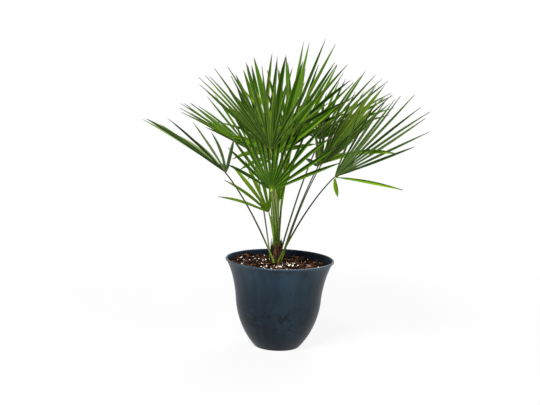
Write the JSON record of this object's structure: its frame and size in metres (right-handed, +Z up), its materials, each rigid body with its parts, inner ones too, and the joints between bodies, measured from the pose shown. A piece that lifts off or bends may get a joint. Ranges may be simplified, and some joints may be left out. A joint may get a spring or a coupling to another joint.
{
  "type": "potted fan palm",
  "caption": "Fan palm with long-stalked, pleated fan leaves rising from a short fibrous crown in a round flared plastic planter.",
  "frame": {"origin": "centre of the pot's flat underside, on the surface it stands on", "axes": "+Z up along the pot's axis; -Y is the front, the side with the highest front leaf; +X is to the right seen from the front"},
  "size_m": [0.8032, 0.7718, 0.874],
  "materials": {
    "pot_plastic": "semi-gloss moulded plastic with faint streaks",
    "potting_mix": "matt, crumbly bark mix with pale grains",
    "crown_fibre": "matt dry fibre",
    "stalk_green": "satin",
    "leaf_green": "satin, finely ribbed"
  },
  "bodies": {
    "root": {"pot": "pot_plastic", "soil": "potting_mix", "crown": "crown_fibre", "stalk_front_high": "stalk_green", "blade_front_high": "leaf_green", "stalk_front_middle": "stalk_green", "blade_front_middle": "leaf_green", "stalk_front_low": "stalk_green", "blade_front_low": "leaf_green", "stalk_left": "stalk_green", "blade_left": "leaf_green", "stalk_right_low": "stalk_green", "blade_right_low": "leaf_green", "stalk_right_middle": "stalk_green", "blade_right_middle": "leaf_green", "stalk_right_back": "stalk_green", "blade_right_back": "leaf_green", "stalk_left_back": "stalk_green", "blade_left_back": "leaf_green", "stalk_right_inner": "stalk_green", "blade_right_inner": "leaf_green", "stalk_back_right": "stalk_green", "blade_back_right": "leaf_green", "stalk_back_left": "stalk_green", "blade_back_left": "leaf_green", "stalk_back": "stalk_green", "blade_back": "leaf_green", "stalk_centre": "stalk_green", "blade_centre": "leaf_green", "stalk_young": "stalk_green", "blade_young": "leaf_green"}
  },
  "joints": []
}
